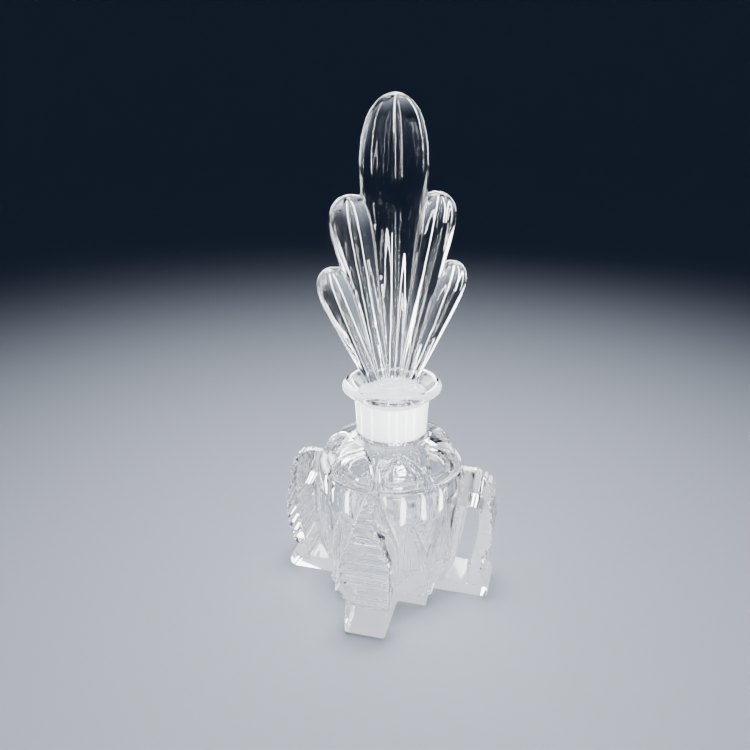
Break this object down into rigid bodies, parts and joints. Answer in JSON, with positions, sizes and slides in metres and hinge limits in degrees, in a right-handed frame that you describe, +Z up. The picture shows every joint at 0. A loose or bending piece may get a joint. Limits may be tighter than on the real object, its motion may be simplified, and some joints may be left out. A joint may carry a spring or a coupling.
{
  "type": "perfume bottle",
  "caption": "Clear pressed-crystal perfume bottle on stepped buttress legs, with a ground-glass neck and a tall fan stopper that lifts out.",
  "frame": {"origin": "on the bottle's axis, in the plane that the feet and the plinth stand on", "axes": "+Z up along the bottle's axis; -Y out of the front leg; +X out of the right leg"},
  "size_m": [0.0676, 0.0676, 0.1519],
  "materials": {
    "clear_crystal": "clear fire-polished pressed crystal",
    "ground_glass": "white frosted ground glass on the socket and the plug"
  },
  "bodies": {
    "bottle": {"vessel": "clear_crystal", "neck": "ground_glass", "lip": "clear_crystal", "leg_front": "clear_crystal", "leg_right": "clear_crystal", "leg_back": "clear_crystal", "leg_left": "clear_crystal"},
    "stopper": {"lobe_middle": "clear_crystal", "lobe_inner_left": "clear_crystal", "lobe_inner_right": "clear_crystal", "lobe_outer_left": "clear_crystal", "lobe_outer_right": "clear_crystal", "stopper_crown": "clear_crystal", "stopper_plug": "ground_glass"}
  },
  "joints": [
    {"name": "stopper_lift", "type": "slide", "parent": "bottle", "child": "stopper", "axis": [0, 0, 1], "range_m": [0, 0.022]}
  ]
}
